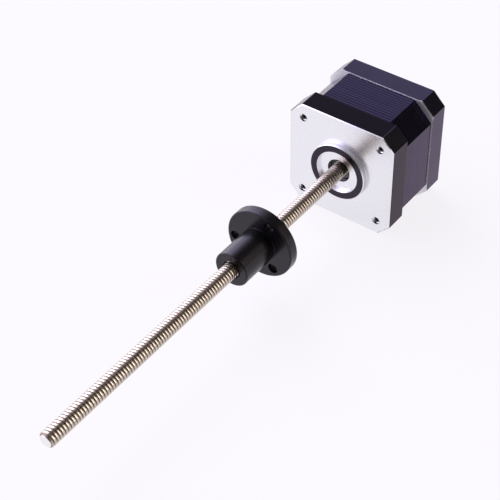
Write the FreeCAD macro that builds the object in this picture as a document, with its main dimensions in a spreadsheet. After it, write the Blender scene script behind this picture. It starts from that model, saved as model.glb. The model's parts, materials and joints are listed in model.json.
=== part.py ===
# Lead screw stepper motor with a 42 mm square frame and an external flange nut.
# The screw axis is X, pointing out of the motor, and the origin is the centre of the mounting face.
# Everything behind that face has a negative X. Z is up. All lengths are millimetres.
import FreeCAD
import Part
import Sketcher
import math
import os
from FreeCAD import Placement, Rotation, Vector

DIMENSIONS = [
    ("frame_side", 42.0, "square side of both end caps"),
    ("frame_corner", 4.7, "leg of the flat across each corner of a cap"),
    ("cap_edge", 0.4, "bevel round the outer face of each cap"),
    ("front_cap_length", 8.4, "front cap, along the screw"),
    ("stator_length", 16.2, "stator stack, along the screw"),
    ("rear_cap_length", 8.4, "rear cap, along the screw"),
    ("front_wall", 3.0, "wall behind the mounting face"),
    ("rear_wall", 1.9, "wall of the rear face"),
    ("cap_wall", 2.0, "wall of each cap round the windings"),
    ("bearing_boss_dia", 20.0, "boss that holds each bearing"),
    ("bearing_stands_out", 0.5, "how far a bearing stands out of its boss"),
    ("pilot_dia", 22.0, "centring boss on the mounting face"),
    ("pilot_height", 2.0, "height of the centring boss"),
    ("pilot_edge", 0.3, "bevel of the centring boss"),
    ("recess_dia", 16.4, "recess in the centring boss"),
    ("recess_depth", 1.25, "depth of that recess"),
    ("shaft_hole_dia", 8.9, "hole that the screw passes through"),
    ("front_web", 1.5, "mounting face to the seat of the front bearing"),
    ("rear_recess_dia", 17.0, "shallow recess in the rear face"),
    ("rear_recess_depth", 0.6, "depth of that recess"),
    ("rear_hole_dia", 7.5, "hole behind the end of the journal"),
    ("bolt_inset", 5.5, "sides of a cap to the centre of each corner hole"),
    ("bolt_hole_dia", 3.0, "tapped mounting hole, at its nominal thread size"),
    ("bolt_hole_depth", 4.5, "depth of a mounting hole"),
    ("screw_core_dia", 2.5, "case screw, at the root of its thread"),
    ("screw_passage_dia", 3.4, "hole for a case screw in the stator and the rear cap"),
    ("screw_head_dia", 5.5, "head of a case screw"),
    ("screw_head_height", 1.6, "height of that head"),
    ("screw_head_sink", 1.8, "depth of the counterbore for the head"),
    ("screw_head_gap", 0.25, "room round the head in its counterbore"),
    ("screw_bite", 3.7, "length of a case screw inside the front cap"),
    ("stator_inset", 0.4, "how far the stator lies back from the sides of the caps"),
    ("stator_corner", 7.1, "leg of the flat across each stator corner"),
    ("stator_yoke", 3.6, "stator wall outside a winding slot"),
    ("pole_neck", 4.6, "width of the pole under its winding"),
    ("pole_shoe", 1.7, "thickness of the pole shoe"),
    ("shoe_tip", 0.9, "thickness of the shoe at its ends"),
    ("slot_opening", 1.1, "gap between two pole shoes"),
    ("tooth_gap", 0.7, "width of the gap between two teeth"),
    ("tooth_depth", 0.8, "depth of that gap"),
    ("rotor_dia", 22.0, "rotor, over its teeth"),
    ("air_gap", 0.15, "rotor teeth to stator teeth"),
    ("rotor_cup_length", 6.9, "each rotor cup, along the screw"),
    ("magnet_length", 2.5, "magnet, along the screw"),
    ("magnet_dia", 17.5, "magnet, between the cups"),
    ("spacer_dia", 7.4, "sleeves beside the rotor"),
    ("insulator_plate", 0.8, "plastic over the end of the stack"),
    ("insulator_height", 2.9, "height of its walls over the stack"),
    ("insulator_wall", 0.8, "thickness of its outer wall"),
    ("insulator_lip", 0.6, "thickness of its inner lips"),
    ("insulator_gap", 0.2, "plate to the hollow of the cap"),
    ("coil_build", 1.8, "thickness of a winding"),
    ("coil_gap", 0.3, "winding to pole neck, lips and slot floor"),
    ("coil_corner", 1.2, "bevel of a winding's outer corners"),
    ("bearing_bore", 5.0, "bearing bore"),
    ("bearing_dia", 16.0, "bearing outside"),
    ("bearing_width", 5.0, "bearing width"),
    ("inner_shoulder_dia", 8.5, "outside of the inner ring"),
    ("ball_dia", 2.8, "bearing ball"),
    ("ball_circle", 10.5, "circle of the ball centres"),
    ("race_gap", 0.05, "ball to raceway and cage pocket"),
    ("shield_thickness", 0.3, "shield at each end of a bearing"),
    ("shield_gap", 0.25, "shield to inner ring"),
    ("cage_wall", 0.6, "cage, across its wall"),
    ("cage_width", 3.6, "cage, along the screw"),
    ("washer_space", 0.8, "room for the wave washer"),
    ("washer_thickness", 0.25, "spring strip of the wave washer"),
    ("washer_wall", 1.1, "width of the wave washer"),
    ("seat_gap", 0.02, "radial gap of a seated piece"),
    ("screw_dia", 5.56, "lead screw over its thread"),
    ("screw_reach", 150.0, "mounting face to the free end of the screw"),
    ("screw_tip", 0.7, "bevel of the free end"),
    ("journal_out", 1.3, "journal behind the rear bearing"),
    ("journal_edge", 0.4, "bevel of the journal end"),
    ("nut_rest", 43.4, "mounting face to the nut, as it lies"),
    ("nut_flange_dia", 25.4, "flange of the nut"),
    ("nut_flange", 3.96, "thickness of that flange"),
    ("nut_body_dia", 12.7, "barrel of the nut"),
    ("nut_length", 19.05, "nut, along the screw"),
    ("nut_hole_circle", 19.05, "circle of the flange holes"),
    ("nut_hole_dia", 3.6, "flange hole"),
    ("nut_edge", 0.4, "bevel of the nut's rims"),
    ("nut_mouth", 0.8, "countersink at both ends of the nut's thread"),
    ("nut_gap", 0.05, "radial gap between nut and screw"),
    ("nut_turn", 5.5, "angle of the flange holes as the nut lies, in degrees"),
    ("board_thickness", 0.8, "terminal board"),
    ("board_reach", 8.0, "terminal board, from the housing towards the screw"),
    ("board_clearance", 1.0, "board to bearing boss"),
    ("header_length", 15.6, "connector housing, along Z"),
    ("header_height", 4.6, "connector housing, along the screw"),
    ("header_depth", 4.1, "connector housing, into the motor"),
    ("header_proud", 1.6, "how far the housing stands out of the cap"),
    ("header_wall", 0.6, "side walls of the housing"),
    ("header_floor", 0.8, "back wall of the housing"),
    ("header_gap", 0.1, "housing to its window in the cap"),
    ("header_key", 1.2, "width of each key slot in the housing"),
    ("header_key_depth", 2.0, "depth of a key slot"),
    ("pin_side", 0.5, "square contact pin"),
    ("pin_pitch", 2.0, "spacing of the pins"),
    ("pin_length", 5.0, "length of a pin"),
    ("pin_inset", 0.7, "mouth of the housing to the pin ends"),
    ("pin_gap", 0.05, "pin to board and to its hole"),
]
POLES = 8
POLE_TEETH = 6
ROTOR_TEETH = 50
BALLS = 7
BALL_SIDES = 8
CORNERS = 4
NUT_HOLES = 3
PINS = 6
WASHER_WAVES = 3
WAVE_STEPS = 8
FULL_TURN = 360.0
POLE_PITCH = FULL_TURN / POLES
TOOTH_PITCH = FULL_TURN / ROTOR_TEETH
BALL_FLAT = math.tan(math.radians(FULL_TURN / BALL_SIDES / 2))
SCREW_AXIS = Vector(1, 0, 0)
NEAR = 1e-4


class Size:
    """A length worked out from the sheet: its number now, and the expression that keeps it bound."""

    def __init__(self, number, text):
        self.number = number
        self.text = text

    def __add__(self, other):
        other = size(other)
        return Size(self.number + other.number, f"({self.text} + {other.text})")

    def __sub__(self, other):
        other = size(other)
        return Size(self.number - other.number, f"({self.text} - {other.text})")

    def __mul__(self, factor):
        return Size(self.number * factor, f"({self.text} * ({factor!r}))")

    def __rmul__(self, factor):
        return self * factor

    def __truediv__(self, divisor):
        return Size(self.number / divisor, f"({self.text} / {divisor!r})")

    def __neg__(self):
        return Size(-self.number, f"(-{self.text})")


def size(value):
    if isinstance(value, Size):
        return value
    return Size(float(value), f"({float(value)!r})")


class Sheet:
    """The driving dimensions as a spreadsheet, read by name as sizes."""

    def __init__(self, document):
        self.cells = document.addObject("Spreadsheet::Sheet", "dims")
        for row, (name, value, meaning) in enumerate(DIMENSIONS, start=1):
            self.cells.set(f"A{row}", name)
            self.cells.set(f"B{row}", str(value))
            self.cells.setAlias(f"B{row}", name)
            self.cells.set(f"C{row}", meaning)
        document.recompute()

    def __getattr__(self, name):
        return Size(float(self.cells.get(name)), f"dims.{name}")


doc = FreeCAD.newDocument("lead_screw_stepper_motor")
D = Sheet(doc)

# Stations along the screw, from the mounting face backwards
STATOR_FRONT = -D.front_cap_length
STATOR_REAR = STATOR_FRONT - D.stator_length
STATOR_MIDDLE = STATOR_FRONT - D.stator_length / 2
REAR_FACE = STATOR_REAR - D.rear_cap_length
REAR_FLOOR = REAR_FACE + D.rear_wall
FRONT_BEARING = -D.front_web - D.bearing_width
REAR_BEARING = REAR_FLOOR + D.washer_space
REAR_BEARING_FRONT = REAR_BEARING + D.bearing_width
ROTOR_LENGTH = D.rotor_cup_length * 2 + D.magnet_length
ROTOR_FRONT = STATOR_MIDDLE + ROTOR_LENGTH / 2
ROTOR_REAR = STATOR_MIDDLE - ROTOR_LENGTH / 2
BOARD_FRONT = STATOR_REAR - D.insulator_height
BOARD_REAR = BOARD_FRONT - D.board_thickness
PIN_MIDDLE = BOARD_REAR - D.pin_gap - D.pin_side / 2

# Radii and offsets that several pieces share
JOURNAL = D.bearing_bore / 2 - D.seat_gap
BEARING_SEAT = D.bearing_dia / 2 + D.seat_gap
BOSS = D.bearing_boss_dia / 2
STATOR_BORE = D.rotor_dia / 2 + D.air_gap
SHOE_UNDERSIDE = STATOR_BORE + D.pole_shoe
SIDE = D.frame_side / 2
BOLT = SIDE - D.bolt_inset
CAP_HOLLOW = SIDE - D.cap_wall
STATOR_SIDE = D.frame_side - D.stator_inset * 2
SLOT_FLOOR = STATOR_SIDE / 2 - D.stator_yoke
COIL_INSIDE = SHOE_UNDERSIDE + D.coil_gap
COIL_OUTSIDE = SLOT_FLOOR - D.coil_gap
COIL_HALF_WIDTH = D.pole_neck / 2 + D.coil_gap
COIL_HALF_LENGTH = D.stator_length / 2 + D.insulator_plate + D.seat_gap
HEADER_BACK = SIDE + D.header_proud - D.header_depth


def bind(thing, name, value):
    thing.setExpression(name, size(value).text)


def turned(point, degrees):
    """The point turned from Z towards Y about the screw axis, as (y, z)."""
    across, out = size(point[0]), size(point[1])
    cosine = math.cos(math.radians(degrees))
    sine = math.sin(math.radians(degrees))
    return across * cosine + out * sine, out * cosine - across * sine


def new_body(label):
    body = doc.addObject("PartDesign::Body", label)
    body.Label = label
    return body


def origin_of(body, role):
    return next(item for item in body.Origin.OriginFeatures if item.Role == role)


def new_sketch(body, plane, offset=None):
    """A sketch on one of the body's own planes, moved along that plane's normal by offset."""
    sketch = body.newObject("Sketcher::SketchObject", "Sketch")
    sketch.AttachmentSupport = (origin_of(body, plane), [""])
    sketch.MapMode = "FlatFace"
    if offset is not None:
        bind(sketch, "AttachmentOffset.Base.z", offset)
    return sketch


def hold(sketch, constraint, value):
    bind(sketch, f"Constraints[{sketch.addConstraint(constraint)}]", value)


def hold_point(sketch, geometry, vertex, point):
    for kind, value in zip(("DistanceX", "DistanceY"), point):
        hold(sketch, Sketcher.Constraint(kind, -1, 1, geometry, vertex, size(value).number), value)


def draw_polygon(sketch, points):
    """A closed run of straight lines whose corners are all bound to the sheet."""
    corners = [Vector(size(x).number, size(y).number, 0) for x, y in points]
    first = sketch.GeometryCount
    lines = [Part.LineSegment(a, b) for a, b in zip(corners, corners[1:] + corners[:1])]
    sketch.addGeometry(lines, False)
    for index in range(len(points)):
        after = (index + 1) % len(points)
        sketch.addConstraint(Sketcher.Constraint("Coincident", first + index, 2, first + after, 1))
    for index, point in enumerate(points):
        hold_point(sketch, first + index, 1, point)


def draw_rectangle(sketch, low, high):
    draw_polygon(sketch, [low, (high[0], low[1]), high, (low[0], high[1])])


def draw_circle(sketch, centre, radius):
    middle = Vector(size(centre[0]).number, size(centre[1]).number, 0)
    circle = Part.Circle(middle, Vector(0, 0, 1), size(radius).number)
    geometry = sketch.addGeometry(circle, False)
    hold_point(sketch, geometry, 3, centre)
    hold(sketch, Sketcher.Constraint("Radius", geometry, size(radius).number), radius)


def draw_octagon(sketch, side, corner):
    """A square with a flat across each corner, as the caps and the stator have."""
    half = side / 2
    flat = half - corner
    draw_polygon(sketch, [(flat, -half), (half, -flat), (half, flat), (flat, half),
                          (-flat, half), (-half, flat), (-half, -flat), (-flat, -half)])


def draw_regular(sketch, sides, apothem):
    """A regular polygon round the screw axis, with one of its flats facing up."""
    turn = FULL_TURN / sides
    half_flat = apothem * math.tan(math.radians(turn / 2))
    draw_polygon(sketch, [turned((half_flat, apothem), turn * number) for number in range(sides)])


def extrude(body, kind, sketch, length, backwards=False):
    feature = body.newObject(f"PartDesign::{kind}", kind)
    feature.Profile = sketch
    feature.Reversed = backwards
    bind(feature, "Length", length)
    return feature


def revolve(body, kind, sketch, axis="H_Axis"):
    feature = body.newObject(f"PartDesign::{kind}", kind)
    feature.Profile = sketch
    feature.ReferenceAxis = (sketch, [axis])
    feature.Angle = FULL_TURN
    return feature


def lathe(body, kind, points):
    """Turn an outline of (along the screw, from the axis) points about the screw axis."""
    sketch = new_sketch(body, "XY_Plane")
    draw_polygon(sketch, points)
    return revolve(body, kind, sketch)


def repeat(body, features, count):
    pattern = body.newObject("PartDesign::PolarPattern", "PolarPattern")
    pattern.Originals = features
    pattern.Axis = (origin_of(body, "X_Axis"), [""])
    pattern.Angle = FULL_TURN
    pattern.Occurrences = count
    body.Tip = pattern
    return pattern


def bevel_edges(body, amount, wanted):
    """Bevel the edges of the body so far that the test picks out."""
    doc.recompute()
    base = body.Tip
    names = [f"Edge{number}" for number, edge in enumerate(base.Shape.Edges, start=1) if wanted(edge)]
    feature = body.newObject("PartDesign::Chamfer", "Chamfer")
    feature.Base = (base, names)
    bind(feature, "Size", amount)


def is_straight(edge):
    return isinstance(edge.Curve, Part.Line)


def lies_at(edge, station):
    return all(abs(vertex.X - size(station).number) < NEAR for vertex in edge.Vertexes)


def bore_corners(body, outline):
    """Cut one stepped hole on a corner's screw line, then repeat it at all four corners."""
    sketch = new_sketch(body, "XY_Plane", BOLT)
    draw_polygon(sketch, [(station, BOLT + radius) for station, radius in outline])
    first, last = outline[0][0], outline[-1][0]
    ends = [Vector(size(station).number, BOLT.number, 0) for station in (first, last)]
    line = sketch.addGeometry(Part.LineSegment(*ends), True)
    hold_point(sketch, line, 1, (first, BOLT))
    hold_point(sketch, line, 2, (last, BOLT))
    repeat(body, [revolve(body, "Groove", sketch, "Axis0")], CORNERS)


def compound(label, shapes):
    group = doc.addObject("Part::Compound", label)
    group.Label = label
    group.Links = shapes
    return group


def cylinder(radius, length, place):
    """A Part cylinder along the screw, from the place (x, y, z) towards the free end."""
    shape = doc.addObject("Part::Cylinder", "Cylinder")
    shape.Placement = Placement(Vector(), Rotation(Vector(0, 1, 0), 90))
    bind(shape, "Radius", radius)
    bind(shape, "Height", length)
    for axis, value in zip("xyz", place):
        bind(shape, f"Placement.Base.{axis}", value)
    return shape


def draw_header_outline(sketch, half_height, half_length):
    """A rectangle round the row of contact pins, seen from the side of the motor."""
    draw_rectangle(sketch, (PIN_MIDDLE - half_height, -half_length),
                   (PIN_MIDDLE + half_height, half_length))


def hollow_out(body, stations, backwards):
    """The space round the windings, open to the stator, with the bearing boss left standing in it."""
    mouth, boss_end, floor = stations
    direction = 1 if backwards else -1
    room = new_sketch(body, "YZ_Plane", mouth)
    draw_regular(room, POLES, CAP_HOLLOW)
    extrude(body, "Pocket", room, (boss_end - mouth) * direction, backwards)
    moat = new_sketch(body, "YZ_Plane", boss_end)
    draw_regular(moat, POLES, CAP_HOLLOW)
    draw_circle(moat, (0, 0), BOSS)
    extrude(body, "Pocket", moat, (floor - boss_end) * direction, backwards)


def make_front_cap():
    body = new_body("front_cap")
    outline = new_sketch(body, "YZ_Plane", STATOR_FRONT)
    draw_octagon(outline, D.frame_side, D.frame_corner)
    extrude(body, "Pad", outline, D.front_cap_length)
    pilot, top, rim = D.pilot_dia / 2, D.pilot_height, D.pilot_edge
    lathe(body, "Revolution", [(-D.front_wall, 0), (top, 0), (top, pilot - rim), (top - rim, pilot),
                               (-D.front_wall, pilot)])
    recess, hole, floor = D.recess_dia / 2, D.shaft_hole_dia / 2, top - D.recess_depth
    lathe(body, "Groove", [(top, 0), (top, recess), (floor, recess), (floor, hole), (-D.front_web, hole),
                           (-D.front_web, BEARING_SEAT), (STATOR_FRONT, BEARING_SEAT), (STATOR_FRONT, 0)])
    hollow_out(body, (STATOR_FRONT, FRONT_BEARING + D.bearing_stands_out, -D.front_wall), True)
    bolt, core = D.bolt_hole_dia / 2, D.screw_core_dia / 2
    bore_corners(body, [(0, 0), (0, bolt), (-D.bolt_hole_depth, bolt), (-D.bolt_hole_depth, core),
                        (STATOR_FRONT, core), (STATOR_FRONT, 0)])
    bevel_edges(body, D.cap_edge, lambda edge: is_straight(edge) and lies_at(edge, 0))
    return body


def make_rear_cap():
    body = new_body("rear_cap")
    outline = new_sketch(body, "YZ_Plane", REAR_FACE)
    draw_octagon(outline, D.frame_side, D.frame_corner)
    extrude(body, "Pad", outline, D.rear_cap_length)
    recess, hole = D.rear_recess_dia / 2, D.rear_hole_dia / 2
    recess_floor = REAR_FACE + D.rear_recess_depth
    lathe(body, "Groove", [(REAR_FACE, 0), (REAR_FACE, recess), (recess_floor, recess),
                           (recess_floor, hole), (REAR_FLOOR, hole), (REAR_FLOOR, BEARING_SEAT),
                           (STATOR_REAR, BEARING_SEAT), (STATOR_REAR, 0)])
    hollow_out(body, (STATOR_REAR, REAR_BEARING_FRONT - D.bearing_stands_out, REAR_FLOOR), False)
    window = new_sketch(body, "XZ_Plane", SIDE)
    draw_header_outline(window, D.header_height / 2 + D.header_gap, D.header_length / 2 + D.header_gap)
    extrude(body, "Pocket", window, SIDE - BOSS)
    passage, head = D.screw_passage_dia / 2, D.screw_head_dia / 2 + D.screw_head_gap
    seat = REAR_FACE + D.screw_head_sink
    bore_corners(body, [(REAR_FACE, 0), (REAR_FACE, head), (seat, head), (seat, passage),
                        (STATOR_REAR, passage), (STATOR_REAR, 0)])
    bevel_edges(body, D.cap_edge, lambda edge: is_straight(edge) and lies_at(edge, REAR_FACE))
    return body


def make_stator_core():
    body = new_body("stator_core")
    outline = new_sketch(body, "YZ_Plane", STATOR_REAR)
    draw_octagon(outline, STATOR_SIDE, D.stator_corner)
    draw_circle(outline, (0, 0), STATOR_BORE)
    extrude(body, "Pad", outline, D.stator_length)
    slot = new_sketch(body, "YZ_Plane", STATOR_FRONT)
    neck, opening = D.pole_neck / 2, D.slot_opening / 2
    tip, inside = STATOR_BORE + D.shoe_tip, D.rotor_dia / 2
    middle = POLE_PITCH / 2
    corner = SLOT_FLOOR / math.cos(math.radians(middle))
    draw_polygon(slot, [turned((0, corner), middle), (neck, SLOT_FLOOR), (neck, SHOE_UNDERSIDE),
                        turned((-opening, tip), middle), turned((-opening, inside), middle),
                        turned((opening, inside), middle), turned((opening, tip), middle),
                        turned((-neck, SHOE_UNDERSIDE), POLE_PITCH),
                        turned((-neck, SLOT_FLOOR), POLE_PITCH)])
    repeat(body, [extrude(body, "Pocket", slot, D.stator_length)], POLES)
    gaps = new_sketch(body, "YZ_Plane", STATOR_FRONT)
    half_gap, gap_floor = D.tooth_gap / 2, STATOR_BORE + D.tooth_depth
    for number in range(1, POLE_TEETH):
        angle = (number - POLE_TEETH / 2) * TOOTH_PITCH
        corners = [(-half_gap, inside), (half_gap, inside), (half_gap, gap_floor), (-half_gap, gap_floor)]
        draw_polygon(gaps, [turned(point, angle) for point in corners])
    repeat(body, [extrude(body, "Pocket", gaps, D.stator_length)], POLES)
    passage = D.screw_passage_dia / 2
    bore_corners(body, [(STATOR_FRONT, 0), (STATOR_FRONT, passage),
                        (STATOR_REAR, passage), (STATOR_REAR, 0)])
    return body


def make_insulator(label, station, backwards):
    """A moulded frame on one end of the stack: plate, arms over the poles, outer wall and inner lips."""
    body = new_body(label)
    wall_inside = SLOT_FLOOR + D.coil_gap
    wall_outside = wall_inside + D.insulator_wall
    plate = new_sketch(body, "YZ_Plane", station)
    draw_regular(plate, POLES, CAP_HOLLOW - D.insulator_gap)
    draw_regular(plate, POLES, wall_inside)
    extrude(body, "Pad", plate, D.insulator_plate, backwards)
    wall = new_sketch(body, "YZ_Plane", station)
    draw_regular(wall, POLES, wall_outside)
    draw_regular(wall, POLES, wall_inside)
    extrude(body, "Pad", wall, D.insulator_height, backwards)
    half_arm = D.pole_neck / 2
    lip_outside = COIL_INSIDE - D.seat_gap
    arm = new_sketch(body, "YZ_Plane", station)
    draw_rectangle(arm, (-half_arm, lip_outside - D.insulator_lip), (half_arm, wall_inside))
    arm_pad = extrude(body, "Pad", arm, D.insulator_plate, backwards)
    lip = new_sketch(body, "YZ_Plane", station)
    draw_rectangle(lip, (-half_arm, lip_outside - D.insulator_lip), (half_arm, lip_outside))
    lip_pad = extrude(body, "Pad", lip, D.insulator_height, backwards)
    repeat(body, [arm_pad, lip_pad], POLES)
    return body


def make_coil(number):
    """One winding, a bevelled frame round the neck of its pole."""
    body = new_body(f"coil_{number}")
    frame = new_sketch(body, "XY_Plane", COIL_INSIDE)
    outer_length, outer_width = COIL_HALF_LENGTH + D.coil_build, COIL_HALF_WIDTH + D.coil_build
    for length, width in ((outer_length, outer_width), (COIL_HALF_LENGTH, COIL_HALF_WIDTH)):
        draw_rectangle(frame, (STATOR_MIDDLE - length, -width), (STATOR_MIDDLE + length, width))
    extrude(body, "Pad", frame, COIL_OUTSIDE - COIL_INSIDE)

    def is_outer_corner(edge):
        upright = edge.BoundBox.ZLength > NEAR
        return upright and abs(edge.BoundBox.Center.y) > outer_width.number - NEAR

    bevel_edges(body, D.coil_corner, is_outer_corner)
    body.Placement = Placement(Vector(), Rotation(SCREW_AXIS, (number - 1) * POLE_PITCH))
    return body


def make_rotor_cup(label, rear_end, degrees):
    """A toothed steel cup, turned by an angle that sets its teeth against the other cup's."""
    body = new_body(label)
    disc = new_sketch(body, "YZ_Plane", rear_end)
    draw_circle(disc, (0, 0), D.rotor_dia / 2)
    draw_circle(disc, (0, 0), JOURNAL + D.seat_gap)
    extrude(body, "Pad", disc, D.rotor_cup_length)
    gap = new_sketch(body, "YZ_Plane", rear_end + D.rotor_cup_length)
    half_gap, outside = D.tooth_gap / 2, D.rotor_dia / 2
    draw_rectangle(gap, (-half_gap, outside - D.tooth_depth), (half_gap, outside + D.air_gap))
    repeat(body, [extrude(body, "Pocket", gap, D.rotor_cup_length)], ROTOR_TEETH)
    body.Placement = Placement(Vector(), Rotation(SCREW_AXIS, degrees))
    return body


def make_sleeve(label, rear_end, front_end, radius):
    body = new_body(label)
    bore = JOURNAL + D.seat_gap
    lathe(body, "Revolution", [(rear_end, bore), (front_end, bore),
                               (front_end, radius), (rear_end, radius)])
    return body


def make_lead_screw():
    body = new_body("lead_screw")
    screw, tip, edge = D.screw_dia / 2, D.screw_tip, D.journal_edge
    end = REAR_BEARING - D.journal_out
    lathe(body, "Revolution", [(end, 0), (D.screw_reach, 0), (D.screw_reach, screw - tip),
                               (D.screw_reach - tip, screw), (-D.front_web, screw), (-D.front_web, JOURNAL),
                               (end + edge, JOURNAL), (end, JOURNAL - edge)])
    return body


def make_flange_nut():
    body = new_body("flange_nut")
    start, face, end = D.nut_rest, D.nut_rest + D.nut_flange, D.nut_rest + D.nut_length
    bore, mouth, edge = D.screw_dia / 2 + D.nut_gap, D.nut_mouth, D.nut_edge
    flange, barrel = D.nut_flange_dia / 2, D.nut_body_dia / 2
    lathe(body, "Revolution", [(start, bore + mouth), (start + mouth, bore), (end - mouth, bore),
                               (end, bore + mouth), (end, barrel - edge), (end - edge, barrel),
                               (face, barrel), (face, flange - edge), (face - edge, flange),
                               (start + edge, flange), (start, flange - edge)])
    hole = new_sketch(body, "YZ_Plane", face)
    draw_circle(hole, (-D.nut_hole_circle / 2, 0), D.nut_hole_dia / 2)
    repeat(body, [extrude(body, "Pocket", hole, D.nut_flange)], NUT_HOLES)
    body.Placement = Placement(Vector(), Rotation(SCREW_AXIS, D.nut_turn.number))
    return body


def make_outer_ring(label, rear):
    """The outer ring with its two shields pressed in, round a plain track for the balls."""
    body = new_body(label)
    front, shield = rear + D.bearing_width, D.shield_thickness
    outside, bore = D.bearing_dia / 2, D.inner_shoulder_dia / 2 + D.shield_gap
    track = D.ball_circle / 2 + D.ball_dia / 2 + D.race_gap
    lathe(body, "Revolution", [(rear, outside), (front, outside), (front, bore), (front - shield, bore),
                               (front - shield, track), (rear + shield, track), (rear + shield, bore),
                               (rear, bore)])
    return body


def make_inner_ring(label, rear):
    """The inner ring, with a groove that the balls dip into as their track."""
    body = new_body(label)
    front, middle = rear + D.bearing_width, rear + D.bearing_width / 2
    bore, shoulder = JOURNAL + D.seat_gap, D.inner_shoulder_dia / 2
    room = D.ball_dia / 2 + D.race_gap
    track = D.ball_circle / 2 - room
    half_track = room * BALL_FLAT + shoulder - track
    lathe(body, "Revolution", [(rear, bore), (front, bore), (front, shoulder),
                               (middle + half_track, shoulder), (middle + half_track, track),
                               (middle - half_track, track), (middle - half_track, shoulder),
                               (rear, shoulder)])
    return body


def make_balls(label, rear):
    """The set of balls, each drawn as a cube bevelled to 26 flats."""
    side, reach = D.ball_dia.number, D.ball_circle.number / 2
    half = side / 2
    middle = rear.number + D.bearing_width.number / 2
    cube = Part.makeBox(side, side, side, Vector(middle - half, -half, reach - half))
    ball = cube.makeChamfer(half * (1 - BALL_FLAT), cube.Edges)
    angles = [number * FULL_TURN / BALLS for number in range(BALLS)]
    balls = doc.addObject("Part::Feature", label)
    balls.Label = label
    balls.Shape = Part.makeCompound([ball.rotated(Vector(), SCREW_AXIS, angle) for angle in angles])
    return balls


def make_cage(label, rear):
    """A many-sided ring along the ball circle, with a square window for each ball."""
    body = new_body(label)
    ring = new_sketch(body, "YZ_Plane", rear + (D.bearing_width - D.cage_width) / 2)
    reach, half_wall = D.ball_circle / 2, D.cage_wall / 2
    draw_regular(ring, BALLS * 2, reach + half_wall)
    draw_regular(ring, BALLS * 2, reach - half_wall)
    extrude(body, "Pad", ring, D.cage_width)
    window = new_sketch(body, "XY_Plane", reach + D.cage_wall)
    middle, room = rear + D.bearing_width / 2, D.ball_dia / 2 + D.race_gap
    draw_rectangle(window, (middle - room, -room), (middle + room, room))
    repeat(body, [extrude(body, "Pocket", window, D.cage_wall * 2)], BALLS)
    return body


def make_bearing(end, rear):
    return [
        make_outer_ring(f"{end}_bearing_outer_ring", rear),
        make_inner_ring(f"{end}_bearing_inner_ring", rear),
        make_balls(f"{end}_bearing_balls", rear),
        make_cage(f"{end}_bearing_cage", rear),
    ]


def make_wave_washer():
    """A flat spring strip in a ring, bent into three waves between the rear seat and the bearing."""
    outside = BEARING_SEAT.number - D.seat_gap.number * 2
    inside = outside - D.washer_wall.number
    thickness, room = D.washer_thickness.number, D.washer_space.number - D.seat_gap.number * 2
    middle = REAR_FLOOR.number + D.washer_space.number / 2
    swing = (room - thickness) / 2
    samples = WAVE_STEPS * WASHER_WAVES

    def rim(radius, side):
        points = []
        for number in range(samples):
            angle = 2 * math.pi * number / samples
            station = middle + swing * math.cos(WASHER_WAVES * angle) + side * thickness / 2
            points.append(Vector(station, radius * math.cos(angle), radius * math.sin(angle)))
        return Part.makePolygon(points + points[:1])

    corners = [rim(inside, -1), rim(outside, -1), rim(outside, 1), rim(inside, 1)]
    faces = [Part.makeRuledSurface(a, b) for a, b in zip(corners, corners[1:] + corners[:1])]
    skin = Part.makeCompound(faces)
    skin.sewShape()
    solid = Part.makeSolid(skin.Shells[0])
    if solid.Volume < 0:
        solid.reverse()
    washer = doc.addObject("Part::Feature", "wave_washer")
    washer.Label = "wave_washer"
    washer.Shape = solid
    return washer


def make_case_screws():
    seat = REAR_FACE + D.screw_head_sink
    tip = STATOR_FRONT + D.screw_bite
    radius, height = D.screw_core_dia / 2 - D.seat_gap, D.screw_head_height
    screws = []
    for y, z in [(BOLT, BOLT), (-BOLT, BOLT), (-BOLT, -BOLT), (BOLT, -BOLT)]:
        screw = doc.addObject("Part::Fuse", "CaseScrew")
        screw.Base = cylinder(D.screw_head_dia / 2, height, (seat - height, y, z))
        screw.Tool = cylinder(radius, tip - seat, (seat, y, z))
        screws.append(screw)
    return compound("case_screws", screws)


def pin_rows():
    return [(number - (PINS - 1) / 2) * D.pin_pitch for number in range(PINS)]


def make_connector_header():
    """The plug socket in the side of the rear cap: an open box with pin holes and two key slots."""
    body = new_body("connector_header")
    mouth = SIDE + D.header_proud
    half_height, half_length = D.header_height / 2, D.header_length / 2
    block = new_sketch(body, "XZ_Plane", HEADER_BACK)
    draw_header_outline(block, half_height, half_length)
    extrude(body, "Pad", block, D.header_depth)
    hollow = new_sketch(body, "XZ_Plane", mouth)
    inner_height, inner_length = half_height - D.header_wall, half_length - D.header_wall
    draw_header_outline(hollow, inner_height, inner_length)
    extrude(body, "Pocket", hollow, D.header_depth - D.header_floor)
    keys = new_sketch(body, "XZ_Plane", mouth)
    for side in (-1, 1):
        edge = D.pin_pitch * side
        draw_rectangle(keys, (PIN_MIDDLE - half_height, edge - D.header_key / 2),
                       (PIN_MIDDLE - inner_height, edge + D.header_key / 2))
    extrude(body, "Pocket", keys, D.header_key_depth)
    holes = new_sketch(body, "XZ_Plane", mouth)
    half_pin = D.pin_side / 2 + D.seat_gap
    for row in pin_rows():
        draw_rectangle(holes, (PIN_MIDDLE - half_pin, row - half_pin),
                       (PIN_MIDDLE + half_pin, row + half_pin))
    extrude(body, "Pocket", holes, D.header_depth)
    return body


def make_connector_pins():
    half_pin = D.pin_side / 2
    pins = []
    for row in pin_rows():
        pin = doc.addObject("Part::Box", "Pin")
        bind(pin, "Length", D.pin_side)
        bind(pin, "Width", D.pin_length)
        bind(pin, "Height", D.pin_side)
        bind(pin, "Placement.Base.x", PIN_MIDDLE - half_pin)
        bind(pin, "Placement.Base.y", D.pin_inset - SIDE - D.header_proud)
        bind(pin, "Placement.Base.z", row - half_pin)
        pins.append(pin)
    return compound("connector_pins", pins)


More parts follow.
